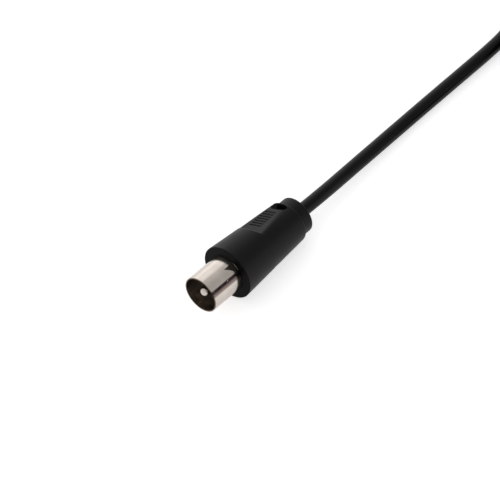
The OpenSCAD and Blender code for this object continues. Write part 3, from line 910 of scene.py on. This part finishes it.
def coil_path(cord):
    """The turns of the coil, clockwise: each holds its cell, then slides to the next one along a cosine.

    A slanting change bulges outwards to stay a diameter from the turn beneath it. At the tie the turns are
    drawn together.
    """
    d = cord.diameter
    cells = np.array(COIL_CELLS, dtype=float)
    steps = [tuple(step) for step in np.diff(cells, axis=0).astype(int).tolist()]
    starts = change_starts(cord, steps)
    sweep = (cord.join_turn - cord.leave_turn) % (2 * math.pi)
    points_a_turn = 72
    column, row, turned = [], [], []
    for k, cell in enumerate(cells):
        last = k == len(cells) - 1
        total = sweep if last else 2 * math.pi
        u = np.linspace(0, total, int(round(points_a_turn * total / (2 * math.pi))), endpoint=False)
        here, level = np.full_like(u, cell[0]), np.full_like(u, cell[1])
        if not last:
            share = np.clip((u - starts[k]) / CHANGE_WIDTH, 0, 1)
            slide = (1 - np.cos(math.pi * share)) / 2
            step = cells[k + 1] - cell
            if all(step):
                here = cell[0] + step[0] * np.sin(slide * math.pi / 2)
                level = cell[1] + step[1] * (1 - np.cos(slide * math.pi / 2))
            else:
                here, level = cell[0] + step[0] * slide, cell[1] + step[1] * slide
        column.append(here)
        row.append(level)
        turned.append(u + 2 * math.pi * k)
    turned = np.concatenate(turned + [[2 * math.pi * (len(cells) - 1) + sweep]])
    column = np.concatenate(column + [[cells[-1, 0]]])
    row = np.concatenate(row + [[cells[-1, 1]]])
    turn = cord.join_turn - turned
    out = (column - 2) * d
    up = (row - 0.5) * d
    away = np.abs((turn - cord.tie_turn + math.pi) % (2 * math.pi) - math.pi) * cord.coil_radius
    nip = np.exp(-(away / (3.2 * MM)) ** 2) * cord.tie_thickness / (1.5 * d)
    middle = 2 * d
    out, up = out * (1 - nip), middle + (up - middle) * (1 - nip)
    radius = cord.coil_radius + out
    return np.stack([cord.coil_x + radius * np.cos(turn), cord.coil_y + radius * np.sin(turn), up], axis=-1)


# The cord's route behind the near plug, in millimetres
LEAD_ROUTE = ((23, 0, 4.75), (30, 0.15, 3.95), (38, 0.42, 3.1), (47, 0.58, 2.4), (56, 0.6, 1.95),
              (65, 0.48, 1.75), (73, 0.25, 1.75), (81, 0, 1.75), (89, -0.2, 1.75), (95, -0.1, 1.75))


def cord_path(plug, cord):
    """The whole cord from the near plug's exit to the far plug's."""
    turns = coil_path(cord)
    join, leave = cord.join_turn, cord.leave_turn
    in_way = np.array([math.sin(join), -math.cos(join), 0])
    out_way = np.array([math.sin(leave), -math.cos(leave), 0])
    exit_z = plug_places(plug)["exit"]
    start = axis_point(plug, exit_z)
    finish = axis_point(plug, exit_z, cord.far_x, cord.far_y, cord.far_heading)
    stub_in = turns[0] - cord.stub * in_way
    stub_out = turns[-1] + cord.stub * out_way
    lead = smooth_route([start, *np.array(LEAD_ROUTE) * MM, stub_in], axis_way(plug), in_way, 1.5 * MM)
    straight_in = even(np.array([stub_in, turns[0]]), 1.5 * MM)
    straight_out = even(np.array([turns[-1], stub_out]), 1.5 * MM)
    tail = smooth_route([stub_out, finish], out_way, -axis_way(plug, cord.far_heading), 1.2 * MM)
    return np.concatenate([lead, straight_in[1:], turns[1:], straight_out[1:], tail[1:]])


def tube(path, radius, sides, first_way=None, last_way=None):
    """Rings square to a path, each turned as the last one was carried along, closed by a face at each end."""
    way = np.gradient(path, axis=0)
    if first_way is not None:
        way[0] = first_way
    if last_way is not None:
        way[-1] = last_way
    way /= np.linalg.norm(way, axis=1)[:, None]
    side = np.cross([0.0, 0.0, 1.0], way)
    side /= np.linalg.norm(side, axis=1)[:, None]
    up = np.cross(way, side)
    turn = np.linspace(0, 2 * math.pi, sides, endpoint=False)
    points = path[:, None] + radius * (np.cos(turn)[None, :, None] * side[:, None]
                                       + np.sin(turn)[None, :, None] * up[:, None])
    faces = grid_quads(len(path), sides, close_columns=True)[:, ::-1].tolist()
    last = len(path) * sides - 1
    faces += [list(range(sides)), list(range(last, last - sides, -1))]
    run = np.concatenate([[0], np.cumsum(np.linalg.norm(np.diff(path, axis=0), axis=1))])
    uv = np.stack(np.broadcast_arrays(turn[None, :] / (2 * math.pi), run[:, None] / UV_LENGTH), axis=-1)
    return points.reshape(-1, 3), faces, uv.reshape(-1, 2)


def tie_loop(cord, inset):
    """The closed line round the bundle's section, as radius and height, with rounded corners."""
    half = 1.5 * cord.diameter - inset
    top = 4 * cord.diameter
    lid = top + cord.diameter - inset
    slant = inset * math.tan(math.radians(22.5))
    corners = np.array([[-half, inset], [half, inset], [half, top - slant], [cord.diameter / 2 - slant, lid],
                        [slant - cord.diameter / 2, lid], [-half, top - slant]])
    round_off = 0.9 * MM
    before = np.roll(corners, 1, axis=0) - corners
    after = np.roll(corners, -1, axis=0) - corners
    before /= np.linalg.norm(before, axis=1)[:, None]
    after /= np.linalg.norm(after, axis=1)[:, None]
    u = np.linspace(0, 1, 7)[None, :, None]
    start, end = corners + before * round_off, corners + after * round_off
    bend = (1 - u) ** 2 * start[:, None] + 2 * u * (1 - u) * corners[:, None] + u ** 2 * end[:, None]
    return bend.reshape(-1, 2)


def tie_band(cord):
    """The band: a flat oval section with a raised core wire, carried round the loop.

    Across and through the band, its section is a stretched circle (a power of cosine and sine), and a bell
    curve over its middle is the wire.
    """
    off_cord = 0.02 * MM
    loop = tie_loop(cord, cord.tie_thickness / 2 + off_cord)
    along = np.roll(loop, -1, axis=0) - np.roll(loop, 1, axis=0)
    along /= np.linalg.norm(along, axis=1)[:, None]
    normal = np.stack([along[:, 1], -along[:, 0]], axis=-1)
    turn = np.linspace(0, 2 * math.pi, 28, endpoint=False)
    wide = np.sign(np.cos(turn)) * np.abs(np.cos(turn)) ** 0.6 * (cord.tie_width / 2)
    wire = np.exp(-(wide / (0.42 * MM)) ** 2)
    thick = np.sign(np.sin(turn)) * np.abs(np.sin(turn)) ** 0.7 * (0.11 + 0.12 * wire) * MM
    radial = cord.coil_radius + loop[:, None, 0] + normal[:, None, 0] * thick[None]
    height = loop[:, None, 1] + normal[:, None, 1] * thick[None]
    across = np.broadcast_to(wide[None], radial.shape)
    points = in_coil(cord, radial, across, height).reshape(-1, 3)
    quads = grid_quads(len(loop), len(turn), close_rows=True, close_columns=True)
    return points, outward(points, quads).tolist(), np.zeros((len(points), 2))


def in_coil(cord, radial, across, height):
    """Places radius, sideways distance and height at the tie's turn round the coil."""
    c, s = math.cos(cord.tie_turn), math.sin(cord.tie_turn)
    return np.stack([cord.coil_x + radial * c - across * s, cord.coil_y + radial * s + across * c, height],
                    axis=-1)


def tie_strand(cord, phase):
    """One of the two twisted ends: a helix that points into the coil's hole."""
    in_band, pitch, off_middle, radius = 0.3 * MM, 2.6 * MM, 0.38 * MM, 0.36 * MM
    inner = cord.coil_radius - 1.5 * cord.diameter + in_band
    s = np.linspace(0, cord.tie_ends, 60)
    twist = phase + s / pitch * 2 * math.pi
    height = 2 * cord.diameter + off_middle * np.sin(twist)
    return tube(in_coil(cord, inner - s, off_middle * np.cos(twist), height), radius, 12)


def join_solids(*solids):
    """Several closed pieces as one set of points, faces and UV places."""
    points, faces, uv, offset = [], [], [], 0
    for solid in solids:
        points.append(solid[0])
        faces += [[corner + offset for corner in face] for face in solid[1]]
        uv.append(solid[2])
        offset += len(solid[0])
    return np.concatenate(points), faces, np.concatenate(uv)


# Floor and light


def floor_finish():
    """Plain white paper that shows full white to the camera where no shadow falls."""
    material, tree, shader = new_finish("floor", (0.85, 0.85, 0.85), 0.9, specular=0.1)
    ray = tree.nodes.new("ShaderNodeLightPath").outputs
    to_camera = computed(tree, "MULTIPLY", ray["Is Camera Ray"], 0.60)
    glow = computed(tree, "MULTIPLY_ADD", ray["Is Glossy Ray"], 0.30, to_camera)
    shader.inputs["Emission Color"].default_value = (1, 1, 1, 1)
    tree.links.new(glow, shader.inputs["Emission Strength"])
    return material


def room_light(scene, strength):
    """Soft white light from all round, a little dimmer overhead on the camera's side.

    White reaches up to about 20 degrees above the floor. Camera and see-through rays meet plain white.
    """
    world = bpy.data.worlds.new("room")
    scene.world = world
    world.use_nodes = True
    tree = world.node_tree
    background = tree.nodes["Background"]
    way = coordinates(tree, "Generated")
    side = tree.nodes.new("ShaderNodeVectorMath")
    side.operation = "DOT_PRODUCT"
    side.inputs[1].default_value = (0.62, -0.78, 0.0)
    tree.links.new(way, side.inputs[0])
    overhead = spread(tree, side.outputs["Value"], 0.78, 0.44, -0.3, 0.7, "SMOOTHSTEP")
    high = spread(tree, parts(tree, way)["Z"], 0.0, 1.0, 0.27, 0.42, "SMOOTHSTEP")
    level = tree.nodes.new("ShaderNodeMix")
    level.inputs["A"].default_value = 0.95
    tree.links.new(high, level.inputs["Factor"])
    tree.links.new(overhead, level.inputs["B"])
    dimmed = computed(tree, "MULTIPLY", level.outputs["Result"], strength)
    ray = tree.nodes.new("ShaderNodeLightPath").outputs
    seen = computed(tree, "MAXIMUM", ray["Is Camera Ray"], ray["Is Transmission Ray"])
    shown = tree.nodes.new("ShaderNodeMix")
    shown.inputs["B"].default_value = 1.0
    tree.links.new(seen, shown.inputs["Factor"])
    tree.links.new(dimmed, shown.inputs["A"])
    background.inputs["Color"].default_value = (1, 1, 1, 1)
    tree.links.new(shown.outputs["Result"], background.inputs["Strength"])


def soft_lamp(name, place, size, power):
    """A square lamp that looks at the middle of the floor."""
    data = bpy.data.lights.new(name, "AREA")
    data.size = size
    data.energy = power
    lamp = bpy.data.objects.new(name, data)
    lamp.location = place
    lamp.rotation_euler = (-Vector(place)).to_track_quat("-Z", "Y").to_euler()
    bpy.context.scene.collection.objects.link(lamp)


# Operators


class AERIAL_OT_camera(bpy.types.Operator):
    """Set the camera at the photograph's viewing angle"""
    bl_idname = "aerial.camera"
    bl_label = "Camera"

    def execute(self, context):
        stage = context.scene.aerial_stage
        plug = context.scene.aerial_plug
        azimuth, elevation = stage.azimuth, stage.elevation
        right = Vector((math.cos(azimuth), math.sin(azimuth), 0))
        back = Vector((math.sin(azimuth) * math.cos(elevation), -math.cos(azimuth) * math.cos(elevation),
                       math.sin(elevation)))
        up = back.cross(right)
        mouth = Vector(axis_point(plug, 0.0))
        target = mouth + right * stage.look_right + up * stage.look_up
        data = bpy.data.cameras.new("camera")
        data.lens = stage.lens
        data.sensor_width = 36.0
        data.clip_start = 0.01
        data.clip_end = 20.0
        camera = bpy.data.objects.new("camera", data)
        camera.matrix_world = (Matrix.Translation(target + back * stage.distance)
                               @ Matrix((right, up, back)).transposed().to_4x4())
        context.scene.collection.objects.link(camera)
        context.scene.camera = camera
        return {"FINISHED"}


class AERIAL_OT_cord(bpy.types.Operator):
    """Lay the cord from plug to plug, with its spare length in a coil"""
    bl_idname = "aerial.cord"
    bl_label = "Cord"

    def execute(self, context):
        plug, cord = context.scene.aerial_plug, context.scene.aerial_cord
        path = cord_path(plug, cord)
        points, faces, uv = tube(path, cord.diameter / 2, 28, axis_way(plug),
                                 -axis_way(plug, cord.far_heading))
        piece = add_piece("aerial_cord", points, faces, uv=uv)
        dress(piece, "cord_jacket", "cord_lead", "cord_coil", "cord_tail")
        run = float(np.linalg.norm(np.diff(path, axis=0), axis=1).sum())
        piece["length"] = run
        piece["path"] = path.ravel().tolist()
        return {"FINISHED"}


class AERIAL_OT_tie(bpy.types.Operator):
    """Bind the coil with a covered wire tie"""
    bl_idname = "aerial.tie"
    bl_label = "Tie"

    def execute(self, context):
        cord = context.scene.aerial_cord
        points, faces, uv = join_solids(tie_band(cord), tie_strand(cord, 0.0), tie_strand(cord, math.pi))
        dress(add_piece("wire_tie", points, faces, uv=uv), "tie", "coil_tie")
        return {"FINISHED"}


class AERIAL_OT_grips(bpy.types.Operator):
    """Mould the grips with their pads, slots and windows"""
    bl_idname = "aerial.grips"
    bl_label = "Grips"

    def execute(self, context):
        plug = context.scene.aerial_plug
        points, quads = grip_shell(plug)
        matt = (points[quads, 2] <= face_place(plug) + 0.02 * MM).all(axis=1)
        for prefix, matrix in both_ends():
            piece = add_piece(prefix + "moulded_grip", points, quads, matrix)
            dress(piece, "black_moulding", prefix + "grip_moulding")
            piece.data.materials.append(finish("matt_face"))
            piece.data.polygons.foreach_set("material_index", matt.astype(np.int32))
        return {"FINISHED"}


class AERIAL_OT_sleeves(bpy.types.Operator):
    """Roll the contact sleeves with their seam and notch"""
    bl_idname = "aerial.sleeves"
    bl_label = "Sleeves"

    def execute(self, context):
        plug = context.scene.aerial_plug
        points, quads, uv = join_sheets(sleeve_sheet(plug), strip_sheet(plug), claw_sheet(plug))
        for prefix, matrix in both_ends():
            piece = add_piece(prefix + "rolled_sleeve", points, quads, matrix, uv)
            give_wall(piece, plug.sleeve_wall, plug.edge_round)
            dress(piece, "nickel", prefix + "contact_sleeve")
        return {"FINISHED"}


class AERIAL_OT_pins(bpy.types.Operator):
    """Turn the centre pins"""
    bl_idname = "aerial.pins"
    bl_label = "Pins"

    def execute(self, context):
        points, faces, uv = spun(pin_profile(context.scene.aerial_plug), 64)
        for prefix, matrix in both_ends():
            piece = add_piece(prefix + "round_pin", points, faces, matrix, uv)
            dress(piece, "nickel_pin", prefix + "centre_pin")
        return {"FINISHED"}


class AERIAL_OT_inner(bpy.types.Operator):
    """Give the pieces inside the plugs their finishes"""
    bl_idname = "aerial.inner"
    bl_label = "Inner Pieces"

    def execute(self, context):
        for prefix in ("", "far_"):
            for node, slot in INNER_SLOTS.items():
                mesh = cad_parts[prefix + node].data
                mesh.materials.clear()
                mesh.materials.append(finish(slot))
        return {"FINISHED"}


class AERIAL_OT_declare(bpy.types.Operator):
    bl_idname = "aerial.declare"
    bl_label = "Declare Cord"

    def execute(self, context):
        piece = bpy.data.objects["aerial_cord"]
        del piece["path"], piece["length"]
        on_it = ["wire_tie", "far_moulded_grip", "far_rolled_sleeve", "far_round_pin"]
        on_it += ["far_" + node for node in INNER_SLOTS]
        return {"FINISHED"}


class AERIAL_OT_stage(bpy.types.Operator):
    """Lay a plain white floor and light it softly"""
    bl_idname = "aerial.stage"
    bl_label = "Stage"

    def execute(self, context):
        stage = context.scene.aerial_stage
        half, low = stage.floor_half, -stage.floor_gap
        corners = [(-half, -half, low), (half, -half, low), (half, half, low), (-half, half, low)]
        floor = add_piece("floor", np.array(corners), [[0, 1, 2, 3]])
        floor.data.materials.append(floor_finish())
        room_light(context.scene, stage.room_light)
        soft_lamp("soft_lamp", (0.99, 1.18, 0.72), stage.lamp_side, stage.lamp_power)
        context.scene.view_settings.view_transform = "Standard"
        return {"FINISHED"}


STEPS = (AERIAL_OT_camera, AERIAL_OT_cord, AERIAL_OT_tie, AERIAL_OT_grips, AERIAL_OT_sleeves,
         AERIAL_OT_pins, AERIAL_OT_inner, AERIAL_OT_declare, AERIAL_OT_stage)
GROUPS = {"aerial_plug": PlugSizes, "aerial_cord": CordSizes, "aerial_colours": FinishColours,
          "aerial_stage": StageSettings}


class AERIAL_PT_panel(bpy.types.Panel):
    """The lead's pieces and sizes in the sidebar"""
    bl_label = "Aerial Lead"
    bl_space_type = "VIEW_3D"
    bl_region_type = "UI"
    bl_category = "Aerial Lead"

    def draw(self, context):
        layout = self.layout
        for step in STEPS:
            layout.operator(step.bl_idname)
        for group in GROUPS:
            settings = getattr(context.scene, group)
            for name in settings.__annotations__:
                layout.prop(settings, name)


def register():
    """Registers the sizes, the operators and the panel."""
    for name, group in GROUPS.items():
        bpy.utils.register_class(group)
        setattr(bpy.types.Scene, name, PointerProperty(type=group))
    for step in STEPS:
        bpy.utils.register_class(step)
    bpy.utils.register_class(AERIAL_PT_panel)


def unregister():
    """Takes them away again, the last one first."""
    bpy.utils.unregister_class(AERIAL_PT_panel)
    for step in reversed(STEPS):
        bpy.utils.unregister_class(step)
    for name, group in GROUPS.items():
        delattr(bpy.types.Scene, name)
        bpy.utils.unregister_class(group)


def main():
    """Builds the lead on its stage."""
    register()
    bpy.ops.aerial.camera()
    bpy.ops.aerial.cord()
    bpy.ops.aerial.tie()
    bpy.ops.aerial.grips()
    bpy.ops.aerial.sleeves()
    bpy.ops.aerial.pins()
    bpy.ops.aerial.inner()
    bpy.ops.aerial.declare()
    bpy.ops.aerial.stage()
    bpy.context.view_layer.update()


if __name__ == "__main__":
    main()
